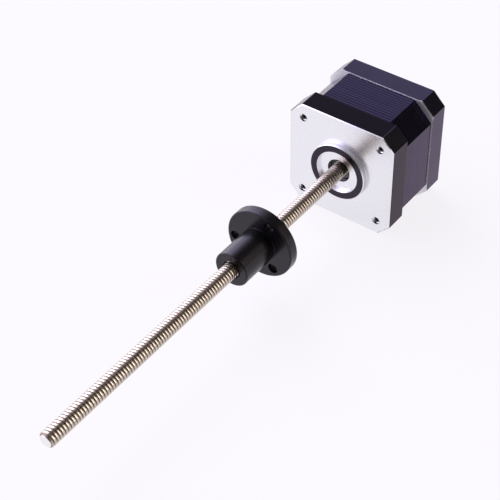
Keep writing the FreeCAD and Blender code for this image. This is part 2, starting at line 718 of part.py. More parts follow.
def make_terminal_board():
    """The board behind the socket, cut away round the bearing boss."""
    body = new_body("terminal_board")
    half_width = D.header_length / 2
    board = new_sketch(body, "YZ_Plane", BOARD_REAR)
    draw_rectangle(board, (-HEADER_BACK, -half_width), (D.board_reach - HEADER_BACK, half_width))
    extrude(body, "Pad", board, D.board_thickness)
    room = new_sketch(body, "YZ_Plane", BOARD_FRONT)
    draw_circle(room, (0, 0), BOSS + D.board_clearance)
    extrude(body, "Pocket", room, D.board_thickness)
    return body


def make_pieces():
    pieces = [make_front_cap(), make_rear_cap(), make_stator_core()]
    pieces.append(make_insulator("front_insulator", STATOR_FRONT, False))
    pieces.append(make_insulator("rear_insulator", STATOR_REAR, True))
    pieces.extend(make_coil(number) for number in range(1, POLES + 1))
    pieces.append(make_rotor_cup("front_rotor_cup", ROTOR_FRONT - D.rotor_cup_length, 0))
    pieces.append(make_rotor_cup("rear_rotor_cup", ROTOR_REAR, TOOTH_PITCH / 2))
    magnet_rear = ROTOR_REAR + D.rotor_cup_length
    magnet_front = magnet_rear + D.magnet_length
    pieces.append(make_sleeve("rotor_magnet", magnet_rear, magnet_front, D.magnet_dia / 2))
    pieces.append(make_sleeve("front_spacer", ROTOR_FRONT, FRONT_BEARING, D.spacer_dia / 2))
    pieces.append(make_sleeve("rear_spacer", REAR_BEARING_FRONT, ROTOR_REAR, D.spacer_dia / 2))
    pieces.extend(make_bearing("front", FRONT_BEARING))
    pieces.extend(make_bearing("rear", REAR_BEARING))
    pieces.extend([make_wave_washer(), make_case_screws(), make_connector_header(), make_connector_pins()])
    pieces.extend([make_terminal_board(), make_lead_screw(), make_flange_nut()])
    return pieces


def check_document():
    doc.recompute()
    failed = [item.Name for item in doc.Objects if {"Invalid", "Error"} & set(item.State)]
    if failed:
        raise RuntimeError(f"these did not compute: {failed}")


def check_piece(piece):
    shape = piece.Shape
    if shape.isNull() or not shape.isValid() or not shape.Solids:
        raise RuntimeError(f"{piece.Label} has no valid solid")


def main():
    pieces = make_pieces()
    check_document()
    os.makedirs("parts", exist_ok=True)
    for piece in pieces:
        check_piece(piece)
    for piece in pieces:
        piece.Shape.exportStep(f"parts/{piece.Label}.step")
        print(f"{piece.Label}: {len(piece.Shape.Solids)} solid, {piece.Shape.Volume:.1f} mm3")


main()
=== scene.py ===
import json
import math

import bmesh
import bpy
from bpy.props import FloatProperty, FloatVectorProperty, IntProperty, PointerProperty
from mathutils import Matrix, Vector


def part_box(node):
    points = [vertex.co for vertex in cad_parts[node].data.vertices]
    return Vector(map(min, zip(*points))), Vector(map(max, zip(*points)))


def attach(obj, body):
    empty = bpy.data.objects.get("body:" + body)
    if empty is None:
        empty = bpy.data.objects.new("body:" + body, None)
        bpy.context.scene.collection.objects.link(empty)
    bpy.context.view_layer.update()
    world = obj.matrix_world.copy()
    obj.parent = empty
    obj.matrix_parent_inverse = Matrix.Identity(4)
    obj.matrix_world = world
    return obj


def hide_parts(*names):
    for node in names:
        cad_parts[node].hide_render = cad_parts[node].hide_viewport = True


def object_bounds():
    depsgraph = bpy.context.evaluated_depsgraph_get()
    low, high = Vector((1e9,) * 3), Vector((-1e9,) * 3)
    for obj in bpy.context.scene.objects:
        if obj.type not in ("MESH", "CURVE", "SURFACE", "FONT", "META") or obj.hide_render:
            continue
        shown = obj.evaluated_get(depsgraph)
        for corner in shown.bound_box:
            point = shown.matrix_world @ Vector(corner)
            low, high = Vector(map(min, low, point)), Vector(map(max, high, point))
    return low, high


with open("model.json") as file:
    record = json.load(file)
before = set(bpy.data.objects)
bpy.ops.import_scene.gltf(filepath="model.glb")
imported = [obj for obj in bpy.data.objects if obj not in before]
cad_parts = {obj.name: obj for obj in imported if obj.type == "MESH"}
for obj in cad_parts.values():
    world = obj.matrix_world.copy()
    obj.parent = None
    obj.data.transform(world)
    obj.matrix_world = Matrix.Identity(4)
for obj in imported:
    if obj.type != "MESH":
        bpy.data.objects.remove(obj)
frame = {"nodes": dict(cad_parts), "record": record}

bl_info = {
    "name": "Lead Screw Stepper Motor",
    "version": (1, 0, 0),
    "blender": (4, 5, 0),
    "location": "View3D > Sidebar > Motor",
    "description": "Gives the packed motor, screw and nut their threads, rounded edges and finishes",
    "category": "Object",
}

CAD_BOX = [list(corner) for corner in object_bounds()]
MM = 0.001
FULL_TURN = 2 * math.pi
SCREW_AXIS = Vector((1, 0, 0))
ORIGIN = Vector((0, 0, 0))
# Points nearer than WELD are merged, and points within NEAR of a station lie on it.
# CUT is the distance within which a plane cuts through a point instead of beside it.
WELD = 2e-6
NEAR = 2e-5
CUT = 1e-7
# Depth to which the foot of a ridge is sunk into the wall that carries it.
SINK = 0.03 * MM
FLAT_ANGLE = math.radians(0.5)
SHARP_ANGLE = math.radians(35)
EDGE_ANGLE = math.radians(50)
NUT_EDGE_ANGLE = math.radians(30)
CORNER_SIGNS = [(-1, -1), (-1, 1), (1, -1), (1, 1)]
COILS = [f"coil_{number}" for number in range(1, 9)]
MOUNTS = {mount["name"]: mount for mount in frame["record"]["mounts"]}
# Half the width of a cap, and the length that each corner flat takes off its sides.
CAP_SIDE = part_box("front_cap")[1].y
CAP_CORNER = 4.7 * MM
# Depth below the sides of a cap that still counts as outside, and the width over which that ends.
COAT_DEPTH = 0.7 * MM
COAT_FADE = 0.15 * MM
SENSOR_WIDTH = 36
# Soft borders of the studio's lights, as parts of a unit direction along X, Y or Z.
HORIZON_TOP = (0.04, 0.12)
HORIZON_END = (0.35, 0.60)
WALL_EDGE = (0.04, 0.40)
WINDOW_EDGE = (0.36, 0.56)
WINDOW_BACK = (-0.63, -0.50)
WINDOW_FRONT = (-0.36, -0.10)
WINDOW_FADE = 0.7
SCREEN_EDGE = (0.30, 0.50)
SCREEN_BACK = (-0.60, -0.40)
SCREEN_FRONT = (-0.36, -0.16)
SCREEN_FOOT = (-0.05, 0.05)
SCREEN_TOP = (0.62, 0.78)


def length(name, description, millimetres):
    return FloatProperty(name=name, description=description, default=millimetres * MM,
                         unit="LENGTH", subtype="DISTANCE", precision=5)


def angle(name, description, degrees):
    return FloatProperty(name=name, description=description, default=math.radians(degrees),
                         unit="ROTATION", subtype="ANGLE")


def colour(name, description, red, green, blue):
    return FloatVectorProperty(name=name, description=description, default=(red, green, blue),
                               size=3, min=0, max=1, subtype="COLOR")


def point(name, description, x, y, z):
    return FloatVectorProperty(name=name, description=description, default=(x * MM, y * MM, z * MM),
                               size=3, unit="LENGTH", subtype="TRANSLATION")


def number(name, description, value):
    return FloatProperty(name=name, description=description, default=value)


def count(name, description, value):
    return IntProperty(name=name, description=description, default=value, min=3)


class LeadMotorSizes(bpy.types.PropertyGroup):
    thread_lead: length("Lead", "Travel of the nut for one turn of the screw", 1.2192)
    thread_root: length("Thread root", "Radius of the lead screw at the root of its thread", 2.28)
    thread_crest: length("Crest flat", "Width of the flat on top of the lead screw's thread", 0.6)
    thread_flank: length("Flank", "Width of each sloping side of that thread, along the screw", 0.2)
    thread_round: length("Crest round", "Rounding of the thread's crest", 0.06)
    thread_gap: length("Thread gap", "Room between the threads of screw and nut", 0.06)
    nut_gap: length("Nut gap", "Room between the crest of the screw and the bore of the nut", 0.05)
    thread_steps: count("Steps", "Facets round one turn of the lead screw", 40)
    thread_start: length("Thread start", "Mounting face to the inner end of the screw's thread", 1.5)
    neck_width: length("Neck", "Width of the groove behind that thread", 0.4)
    neck_depth: length("Neck depth", "Depth of that groove below the root of the thread", 0.08)
    journal_radius: length("Journal", "Radius of the screw inside the motor", 2.48)
    journal_bevel: length("Journal bevel", "Bevel of the screw's end inside the motor", 0.4)
    tip_bevel: length("Tip bevel", "Bevel of the screw's free end", 0.7)
    nut_margin: length("Nut margin", "Each end of the nut to the end of its thread, at least", 0.9)
    nut_fillet: length("Nut fillet", "Fillet between the nut's barrel and flange", 0.12)
    nut_round: length("Nut edge", "Rounding of the nut's edges", 0.14)
    cap_round: length("Cap edge", "Rounding of the caps' edges and hole mouths", 0.12)
    ring_inner: length("Ring inside", "Inner radius of the dark ring on the end of the pilot", 8.25)
    ring_outer: length("Ring outside", "Outer radius of that ring", 10.7)
    bolt_place: length("Corner holes", "Screw axis to each corner hole, along Y and Z",
                       MOUNTS["front_bolts"]["dims"]["spacing_x_mm"] / 2)
    bolt_radius: length("Tapped hole", "Radius of a tapped mounting hole",
                        MOUNTS["front_bolts"]["dims"]["hole_r_mm"])
    bolt_pitch: length("Bolt pitch", "Pitch of the thread in a mounting hole", 0.5)
    bolt_thread: length("Bolt thread", "Depth of the thread in a mounting hole", 0.26)
    bolt_end: length("Bolt thread end", "Mounting face to the inner end of that thread", 4.2)
    bolt_turns: number("Bolt turns", "Turns of that thread", 7.4)
    sheet_pitch: length("Sheet", "Thickness of one stator or rotor sheet", 0.5)
    sheet_joint: length("Sheet joint", "Depth of the line between two sheets", 0.03)
    wire_pitch: length("Wire", "Width of one turn of winding wire", 0.32)
    wire_joint: length("Wire valley", "Depth of the valley between two turns of wire", 0.07)
    head_radius: length("Screw head", "Radius of a case screw's head", 2.75)
    head_height: length("Head height", "Height of that head", 1.6)
    head_bevel: length("Screw bevel", "Bevel of a case screw's head and of its end", 0.3)
    shank_radius: length("Shank", "Radius of a case screw's shank", 1.25)
    head_slot: length("Cross slot", "Width of an arm of the cross in a case screw's head", 0.85)
    head_reach: length("Cross reach", "Length of that cross, from the middle of the head", 1.65)
    head_sink: length("Cross depth", "Depth of that cross", 0.85)
    head_taper: number("Cross taper", "Width of that cross at its floor, as a share of its mouth", 0.55)
    ball_circle: length("Ball circle", "Radius of the circle of balls in a bearing", 5.25)
    ball_count: count("Balls", "Balls in each bearing", 7)
    plastic_round: length("Plastic edge", "Rounding of the moulded pieces' edges", 0.1)


class LeadMotorColours(bpy.types.PropertyGroup):
    cap_black: colour("Front cap", "Coat of the front cap", 0.0046, 0.0042, 0.0055)
    cap_flat_painted_light: colour("Corner flats", "Front cap's coat, brightened on its corner flats as painted light", 0.056, 0.052, 0.074)
    # Painted light: the corner flats have the same coat as the top, made brighter to stand in for the
    # light they reflect.
    cap_violet: colour("Rear cap", "Coat of the rear cap", 0.040, 0.038, 0.061)
    bare_metal: colour("Bare metal", "Turned aluminium of the mounting face", 0.87, 0.87, 0.90)
    stator_blue: colour("Stator", "Varnished edge of the stator sheets", 0.0265, 0.0235, 0.047)
    screw_steel: colour("Lead screw", "Rolled stainless steel of the screw", 0.62, 0.555, 0.485)
    # Painted shade: the root of the thread is darkened for the shade between its turns.
    thread_root_painted_shade: colour("Thread root", "Painted shade in the root of the screw's thread", 0.30, 0.24, 0.20)
    screw_cut: colour("Cut end", "Cut steel at the free end of the screw", 0.90, 0.89, 0.87)
    nut_black: colour("Nut", "Black plastic of the nut", 0.004, 0.0036, 0.0048)
    nut_gloss: colour("Nut gloss", "Tint of the gloss on the nut", 0.95, 0.88, 1.0)
    copper: colour("Windings", "Enamelled copper wire", 0.62, 0.22, 0.07)
    plastic_white: colour("Connector", "Plastic of the connector housing", 0.74, 0.72, 0.66)
    plastic_dark: colour("Insulators", "Plastic over the ends of the stack", 0.03, 0.03, 0.033)
    board_green: colour("Terminal board", "Laminate of the terminal board", 0.02, 0.11, 0.045)
    coat_edge: colour("Coat edge", "Tint of the dark coats seen at a low angle", 0.96, 0.88, 0.96)
    ring_grey: colour("Pilot ring", "Dark ring on the end of the pilot", 0.043, 0.036, 0.050)
    # Painted shade: the walls of the tapped holes are darkened for the shade inside them.
    hole_painted_shade: colour("Tapped holes", "Painted shade on the walls of the tapped holes", 0.035, 0.033, 0.035)
    # Painted shade: the bearings' inner rings are darkened for the shade they sit in, deep inside the
    # caps.
    inner_ring_painted_shade: colour("Inner rings", "Painted shade on the bearings' inner rings", 0.075, 0.072, 0.07)
    steel: colour("Bearing steel", "Ground steel of the bearings", 0.60, 0.60, 0.61)
    sheet_steel: colour("Rotor", "Silicon steel of the rotor", 0.33, 0.33, 0.35)
    magnet: colour("Magnet", "Sintered magnet", 0.09, 0.088, 0.085)
    brass: colour("Sleeves", "Brass of the sleeves", 0.72, 0.52, 0.22)
    zinc: colour("Case screws", "Zinc on the case screws", 0.62, 0.63, 0.66)
    tin: colour("Pins", "Tin on the contact pins", 0.74, 0.73, 0.70)


class LeadMotorStage(bpy.types.PropertyGroup):
    floor_colour: colour("Floor", "Floor and background", 0.972, 0.955, 0.989)
    floor_size: length("Floor size", "Side of the floor", 4000)
    floor_front: length("Floor front", "Origin to where the floor starts to darken in reflections", 320)
    floor_end: length("Floor end", "Origin to where the floor is dark in reflections", 480)
    floor_far: colour("Far floor", "Floor past that end, as reflections show it", 0.15, 0.135, 0.12)
    floor_glow: number("Floor glow", "Share of the floor that shows its plain colour", 0.89)
    room_colour: colour("Room", "Light from the dark ceiling and the screen", 1.0, 0.90, 0.81)
    window_colour: colour("Window", "Daylight from the left", 0.80, 0.77, 1.0)
    room_light: number("Room light", "Strength of the light from the dark ceiling", 0.135)
    wall_light: number("Wall light", "Strength of the light from the pale wall on the left", 1.1)
    window_light: number("Window light", "Strength that the window adds to that wall", 5.0)
    right_light: number("Right light", "Strength of the light from the screen on the right", 3.6)
    key_colour: colour("Key lamp", "Light of the lamp over the object", 1.0, 0.985, 0.97)
    key_power: number("Key power", "Power of the lamp over the object, in watts", 1.5)
    key_size: length("Key size", "Side of the lamp over the object", 600)
    key_place: point("Key place", "Middle of the lamp over the object", 0, -540, 720)
    lens: number("Lens", "Focal length on a 36 mm sensor", 104.742)
    azimuth: angle("Azimuth", "Direction of the camera round Z", 127.016)
    elevation: angle("Elevation", "Height of the camera over the horizon", 42.239)
    roll: angle("Roll", "Turn of the camera about its own line", -0.951)
    across: length("Across", "Screw's origin from the middle of the frame, to the right", 30.936)
    above: length("Above", "Screw's origin from the middle of the frame, upwards", 27.711)
    distance: length("Distance", "Camera to the screw's origin, along its line", 500.856)


class Wire:
    """One output of a node. A sum on wires adds the Math nodes that work it out."""

    def __init__(self, finish, socket):
        self.finish = finish
        self.socket = socket

    def out(self, name):
        return Wire(self.finish, self.socket.node.outputs[name])

    def sum(self, operation, *terms):
        return self.finish.node("ShaderNodeMath", {"operation": operation}, dict(enumerate(terms)))

    def __add__(self, other):
        return self.sum("ADD", self, other)

    def __radd__(self, other):
        return self.sum("ADD", other, self)

    def __sub__(self, other):
        return self.sum("SUBTRACT", self, other)

    def __rsub__(self, other):
        return self.sum("SUBTRACT", other, self)

    def __mul__(self, other):
        return self.sum("MULTIPLY", self, other)

    def __rmul__(self, other):
        return self.sum("MULTIPLY", other, self)

    def __truediv__(self, other):
        return self.sum("DIVIDE", self, other)

    def __rtruediv__(self, other):
        return self.sum("DIVIDE", other, self)

    def __pow__(self, other):
        return self.sum("POWER", self, other)

    def __abs__(self):
        return self.sum("ABSOLUTE", self)

    def larger(self, other):
        return self.sum("MAXIMUM", self, other)

    def floor(self):
        return self.sum("FLOOR", self)

    def wave(self):
        return self.sum("SINE", self)


class Nodes:
    """The nodes of a material or of the world, hung on one kind of coordinates."""

    def __init__(self, tree, coordinates):
        self.tree = tree
        self.tree.nodes.clear()
        self.place = self.node("ShaderNodeTexCoord").out(coordinates)
        apart = self.node("ShaderNodeSeparateXYZ", sockets={0: self.place})
        self.x, self.y, self.z = apart.out("X"), apart.out("Y"), apart.out("Z")

    def node(self, kind, settings=None, sockets=None, output=0):
        """Adds a node: its settings first, then the values or links of its sockets."""
        made = self.tree.nodes.new(kind)
        for name, value in (settings or {}).items():
            setattr(made, name, value)
        for name, value in (sockets or {}).items():
            if isinstance(value, Wire):
                self.tree.links.new(value.socket, made.inputs[name])
            else:
                made.inputs[name].default_value = value
        return Wire(self, made.outputs[output]) if output is not None else None

    def mask(self, value, low, high):
        """0 up to the low end, 1 from the high end on."""
        return self.node("ShaderNodeMapRange", {"interpolation_type": "SMOOTHSTEP"},
                         {"Value": value, "From Min": low, "From Max": high})

    def blend(self, share, first, second):
        """A colour between two colours, by a share of 0 to 1."""
        first, second = [shade if isinstance(shade, Wire) else (*shade, 1) for shade in (first, second)]
        # A Mix node keeps its colours in inputs 6 and 7 and in output 2.
        return self.node("ShaderNodeMix", {"data_type": "RGBA"}, {0: share, 6: first, 7: second}, 2)

    def end(self, kind, shader):
        self.node(kind, sockets={"Surface": shader}, output=None)


class Finish(Nodes):
    """The nodes of one material."""

    def __init__(self, name):
        self.material = bpy.data.materials.new(name)
        self.material.use_nodes = True
        super().__init__(self.material.node_tree, "Object")
        self.radius = (self.y * self.y + self.z * self.z) ** 0.5

    def noise(self, feature, detail=2.0, stretch=(1, 1, 1)):
        """A soft random pattern of 0 to 1, with features of about the given length."""
        scale = tuple(part / feature for part in stretch)
        spread = self.node("ShaderNodeMapping", sockets={"Vector": self.place, "Scale": scale})
        return self.node("ShaderNodeTexNoise",
                         sockets={"Vector": spread, "Scale": 1.0, "Detail": detail})

    def lines(self, along, feature, detail=2.0):
        """Random lines of 0 to 1 across a length, such as the marks of a turning tool."""
        return self.node("ShaderNodeTexNoise", {"noise_dimensions": "1D"},
                         {"W": along / feature, "Scale": 1.0, "Detail": detail})

    def steps(self, along, pitch):
        """One random value of 0 to 1 for each step of the given pitch."""
        return self.node("ShaderNodeTexWhiteNoise", {"noise_dimensions": "1D"},
                         {"W": (along / pitch).floor()})

    def band(self, value, low, high, blur):
        """1 between the low and the high end, with soft borders."""
        inside = self.mask(value, low - blur, low + blur)
        return inside * (1 - self.mask(value, high - blur, high + blur))

    def relief(self, height, depth):
        """The normal of a surface with the given height of 0 to 1 on it."""
        return self.node("ShaderNodeBump",
                         sockets={"Height": height, "Strength": 1.0, "Distance": depth})

    def surface(self, **sockets):
        """Ends the nodes in a Principled surface, named as its sockets with _ for a space."""
        named = {name.replace("_", " "): value for name, value in sockets.items()}
        self.end("ShaderNodeOutputMaterial", self.node("ShaderNodeBsdfPrincipled", sockets=named))
        return self.material


def scaled(shade, share):
    return tuple(share * part for part in shade)


def cap_slant(finish):
    """How far out a point lies past the flats across the corners of a cap."""
    flat = 2 * CAP_SIDE - CAP_CORNER
    return (abs(finish.y) + abs(finish.z) - flat) * math.sqrt(0.5)


def cap_outer(finish):
    """1 on the outer sides and corner flats of a cap, 0 inside it."""
    side = abs(finish.y).larger(abs(finish.z)) - CAP_SIDE
    return finish.mask(side.larger(cap_slant(finish)), -COAT_DEPTH, COAT_FADE - COAT_DEPTH)


def cap_surface(finish, painted, turned, dull, coat, bare, edge):
    """A dark coat where painted is 1, marks of the lathe where turned is 1, rougher where dull is 1."""
    grooves = finish.lines(finish.radius + finish.x, 0.16 * MM)
    grain = finish.noise(0.35 * MM, 3)
    rough_coat = 0.14 + grain * 0.06
    rough_bare = 0.2 + grooves * 0.12 + dull * 0.3
    height = grain * (1 - turned) * 0.1 + grooves * turned * 0.7
    return finish.surface(
        Base_Color=finish.blend(painted, bare, coat),
        Metallic=1.0,
        Specular_Tint=(*edge, 1),
        Roughness=rough_coat * (1 - turned) + rough_bare * turned,
        Normal=finish.relief(height, 0.012 * MM),
    )


def cloudy(finish, shade):
    """A colour that is a little uneven from place to place."""
    return finish.blend(finish.noise(9 * MM), scaled(shade, 0.85), scaled(shade, 1.2))


def front_cap_finish(sizes, colours):
    """Coated sides, a turned bare face, a dark ring on the end of the pilot, painted light on the corner
    flats and painted shade deep in the tapped holes.
    """
    finish = Finish("front_cap_coat")
    pilot, end = MOUNTS["pilot"]["dims"]["r_mm"] * MM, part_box("front_cap")[1].x
    face = finish.mask(finish.x, -0.3 * MM, -0.22 * MM)
    sides = cap_outer(finish) * (1 - face)
    pilot_end = finish.mask(finish.x, end - 0.3 * MM, end - 0.2 * MM)
    ring = finish.band(finish.radius, sizes.ring_inner, sizes.ring_outer, 0.06 * MM) * pilot_end
    across, up = abs(finish.y) - sizes.bolt_place, abs(finish.z) - sizes.bolt_place
    from_hole = (across * across + up * up) ** 0.5
    hole = 1 - finish.mask(from_hole, sizes.bolt_radius + 0.06 * MM, sizes.bolt_radius + 0.12 * MM)
    # Painted shade: each tapped hole's wall darkens with depth, for the shade inside the hole.
    hole_depth_shade = hole * (1 - finish.mask(finish.x, -2.2 * MM, -0.4 * MM))
    bare = finish.blend(hole_depth_shade, colours.bare_metal, colours.hole_painted_shade)
    # Painted light: the corner flats get a brighter copy of the coat, standing in for the light they
    # reflect.
    flat = finish.mask(cap_slant(finish), -0.2 * MM, -0.1 * MM)
    dark = finish.blend(flat, cloudy(finish, colours.cap_black), colours.cap_flat_painted_light)
    coat = finish.blend(ring, dark, colours.ring_grey)
    over_face = finish.mask(finish.x, 0.1 * MM, 0.2 * MM)
    pilot_wall = finish.mask(finish.radius, pilot - 0.1 * MM, pilot - 0.05 * MM) * over_face
    return cap_surface(finish, sides.larger(ring), 1 - sides, pilot_wall, coat, bare, colours.coat_edge)


def rear_cap_finish(colours):
    """Coated, but bare inside and on the rim at the stator, and thin along its top and corners."""
    finish = Finish("rear_cap_coat")
    low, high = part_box("rear_cap")
    rear = 1 - finish.mask(finish.x, low.x + 1.0 * MM, low.x + 1.1 * MM)
    rim = finish.mask(finish.x, high.x - 0.06 * MM, high.x - 0.02 * MM)
    top = finish.mask(finish.z, CAP_SIDE - 0.7 * MM, CAP_SIDE - 0.5 * MM)
    line = finish.mask(finish.x, high.x - 0.2 * MM, high.x - 0.1 * MM) * top * 0.45
    flat = finish.mask(cap_slant(finish), -0.75 * MM, -0.6 * MM)
    corner = finish.mask(finish.x, high.x - 0.5 * MM, high.x - 0.4 * MM) * flat * 0.5
    painted = cap_outer(finish).larger(rear) * (1 - line.larger(corner).larger(rim))
    return cap_surface(finish, painted, 1 - painted, rim, cloudy(finish, colours.cap_violet),
                       colours.bare_metal, colours.coat_edge)


def stator_finish(colours, pitch):
    """Varnished sheets of uneven shade, in stripes of a few sheets each."""
    finish = Finish("stator_sheets")
    sheet = finish.steps(finish.x, pitch)
    stripe_width = 2.5 * pitch
    stripe = (finish.x * (FULL_TURN / stripe_width)).wave() * 0.42 + 0.42 + sheet * 0.16
    blue = colours.stator_blue
    return finish.surface(
        Base_Color=finish.blend(stripe, scaled(blue, 0.2), scaled(blue, 1.9)),
        Metallic=1.0,
        Specular_Tint=(*colours.coat_edge, 1),
        Roughness=0.1 + stripe * 0.08,
        Normal=finish.relief(finish.lines(finish.x, 0.12 * MM, 3), 0.001 * MM),
    )


def lead_screw_finish(colours, root, crest, end):
    """Rolled steel with painted shade towards the root of the thread, and a bright cut end."""
    finish = Finish("lead_screw_rolled_steel")
    cut = finish.mask(finish.x, end - 0.1 * MM, end - 0.05 * MM)
    # Painted shade: the steel darkens towards the root of the thread, for the shade between the turns.
    valley = 1 - finish.mask(finish.radius, root, root + 0.75 * (crest - root)).larger(cut)
    streak = finish.noise(0.5 * MM, 3, (1, 4, 4))
    rolled = finish.blend(streak, scaled(colours.screw_steel, 0.92), colours.screw_steel)
    steel = finish.blend(cut, rolled, colours.screw_cut)
    return finish.surface(
        Base_Color=finish.blend(valley * 0.85, steel, colours.thread_root_painted_shade),
        Metallic=1.0,
        Roughness=0.2 + valley * 0.15 + streak * 0.08,
        Normal=finish.relief(streak, 0.004 * MM),
    )


def nut_finish(colours):
    """Glossy black plastic with fine marks of the lathe."""
    finish = Finish("nut_black_plastic")
    marks = finish.lines(finish.radius + finish.x, 0.14 * MM, 3)
    cloud = finish.noise(3 * MM, 3)
    black = colours.nut_black
    return finish.surface(
        Base_Color=finish.blend(cloud, scaled(black, 0.8), scaled(black, 1.25)),
        Specular_IOR_Level=0.37,
        Specular_Tint=(*colours.nut_gloss, 1),
        Roughness=0.2 + marks * 0.08,
        Normal=finish.relief(marks + finish.noise(0.25 * MM, 2) * 0.5, 0.003 * MM),
    )


def metal_finish(name, shade, roughness, feature, depth):
    """Turned or ground metal, with fine marks that run round the screw axis."""
    finish = Finish(name)
    marks = finish.lines(finish.radius + finish.x, feature, 2)
    cloud = finish.noise(20 * feature, 3)
    return finish.surface(
        Base_Color=finish.blend(cloud, scaled(shade, 0.86), shade),
        Metallic=1.0,
        Roughness=roughness + marks * 0.12,
        Normal=finish.relief(marks, depth),
    )


def sheet_finish(name, shade, pitch):
    """The edge of a stack of stamped sheets."""
    finish = Finish(name)
    sheet = finish.steps(finish.x, pitch)
    grain = finish.noise(0.3 * MM, 3)
    return finish.surface(
        Base_Color=finish.blend(sheet, scaled(shade, 0.75), shade),
        Metallic=1.0,
        Roughness=0.34 + grain * 0.15,
        Normal=finish.relief(grain, 0.006 * MM),
    )


def plastic_finish(name, shade, roughness):
    """Moulded plastic with a faint grain."""
    finish = Finish(name)
    grain = finish.noise(0.2 * MM, 2)
    cloud = finish.noise(4 * MM, 2)
    return finish.surface(
        Base_Color=finish.blend(cloud, scaled(shade, 0.92), shade),
        Roughness=roughness + grain * 0.1,
        Normal=finish.relief(grain, 0.006 * MM),
    )


def winding_finish(colours):
    """Copper wire under a clear enamel."""
    finish = Finish("winding_wire")
    enamel = finish.noise(0.8 * MM, 3)
    copper = colours.copper
    return finish.surface(
        Base_Color=finish.blend(enamel, scaled(copper, 0.7), copper),
        Metallic=1.0,
        Roughness=0.28 + enamel * 0.12,
        Coat_Weight=0.5,
        Normal=finish.relief(enamel, 0.006 * MM),
    )


def board_finish(colours):
    """Laminate that shows the weave of its cloth."""
    finish = Finish("board_laminate")
    weave = FULL_TURN / (0.5 * MM)
    cloth = (finish.y * weave).wave() * (finish.z * weave).wave() * 0.5 + 0.5
    green = colours.board_green
    return finish.surface(
        Base_Color=finish.blend(cloth, scaled(green, 0.8), scaled(green, 1.15)),
        Roughness=0.35 + cloth * 0.1,
        Normal=finish.relief(cloth, 0.008 * MM),
    )


def whole(shape):
    """All of a bmesh, as the operators take it."""
    return shape.verts[:] + shape.edges[:] + shape.faces[:]


def verts_of(parts):
    return [part for part in parts if isinstance(part, bmesh.types.BMVert)]


def off_axis(place):
    """Distance of a point from the screw's axis."""
    return math.hypot(place.y, place.z)


def node_shape(name):
    """A copy of a CAD node's mesh, merged, with its flat faces whole again."""
    shape = bmesh.new()
    shape.from_mesh(frame["nodes"][name].data)
    bmesh.ops.remove_doubles(shape, verts=shape.verts[:], dist=WELD)
    bmesh.ops.dissolve_limit(shape, angle_limit=FLAT_ANGLE, verts=shape.verts[:], edges=shape.edges[:])
    return shape


def sharp_edges(shape, limit=EDGE_ANGLE):
    return [edge for edge in shape.edges if edge.is_manifold and edge.calc_face_angle() > limit]


def round_edges(shape, edges, width, segments):
    if not edges:
        raise RuntimeError("no edge to round")
    bmesh.ops.bevel(shape, geom=edges, offset=width, offset_type="OFFSET", segments=segments,
                    profile=0.5, affect="EDGES", clamp_overlap=True, loop_slide=True, material=-1)


def score(shape, axis, stations, width, depth):
    """Cuts a shallow valley round a shape at each station along an axis."""
    for station in stations:
        for shift in (-width, 0, width):
            bmesh.ops.bisect_plane(shape, geom=whole(shape), dist=CUT,
                                   plane_co=axis * (station + shift), plane_no=axis)
    shape.normal_update()
    marks = set(round(station / NEAR) for station in stations)
    sunk = [vert for vert in shape.verts if round(vert.co.dot(axis) / NEAR) in marks]
    for vert in sunk:
        outward = vert.normal - axis * vert.normal.dot(axis)
        # Points on a face across the axis stay where they are.
        if outward.length > 0.5:
            vert.co -= outward.normalized() * depth


def stations_between(low, high, pitch):
    """Evenly spaced stations inside a stretch, about a pitch apart."""
    parts = max(2, round((high - low) / pitch))
    return [low + (high - low) * part / parts for part in range(1, parts)]


def section(shape, points, closed):
    """Edges through points given as a place along the screw and a distance from it."""
    verts = [shape.verts.new((along, 0, out)) for along, out in points]
    pairs = list(zip(verts, verts[1:]))
    if closed:
        pairs.append((verts[-1], verts[0]))
    return verts + [shape.edges.new(pair) for pair in pairs]


def lathe(shape, points, steps):
    """Turns an open section once round the screw's axis."""
    bmesh.ops.spin(shape, geom=section(shape, points, False), cent=ORIGIN, axis=SCREW_AXIS,
                   dvec=ORIGIN, angle=FULL_TURN, steps=steps, use_merge=True)


def ridge(shape, points, lead, turns, steps):
    """Sweeps a closed section along a right-hand helix and closes its ends."""
    moves = round(turns * steps)
    bmesh.ops.spin(shape, geom=section(shape, points, True), cent=ORIGIN, axis=SCREW_AXIS,
                   dvec=SCREW_AXIS * (lead / steps), angle=FULL_TURN * moves / steps, steps=moves)
    bmesh.ops.holes_fill(shape, edges=[edge for edge in shape.edges if edge.is_boundary])


def open_edges(shape, station):
    """The edges at a station on the screw's axis that only one face uses."""
    return [edge for edge in shape.edges if edge.is_boundary
            and all(abs(vert.co.x - station) < NEAR for vert in edge.verts)]


def cut_end(shape, station, side):
    """Takes away what lies past a station on the screw's axis and leaves the cut open."""
    bmesh.ops.bisect_plane(shape, geom=whole(shape), dist=CUT, plane_co=SCREW_AXIS * station,
                           plane_no=SCREW_AXIS * side, clear_outer=True)


def settle(shape):
    """Merges what touches, turns the faces outwards and shades them."""
    bmesh.ops.remove_doubles(shape, verts=shape.verts[:], dist=WELD)
    bmesh.ops.recalc_face_normals(shape, faces=shape.faces[:])
    shade(shape)


def shade(shape):
    """Shades all but the sharp edges smooth."""
    for face in shape.faces:
        face.smooth = True
    for edge in shape.edges:
        edge.smooth = edge.is_manifold and edge.calc_face_angle() < SHARP_ANGLE


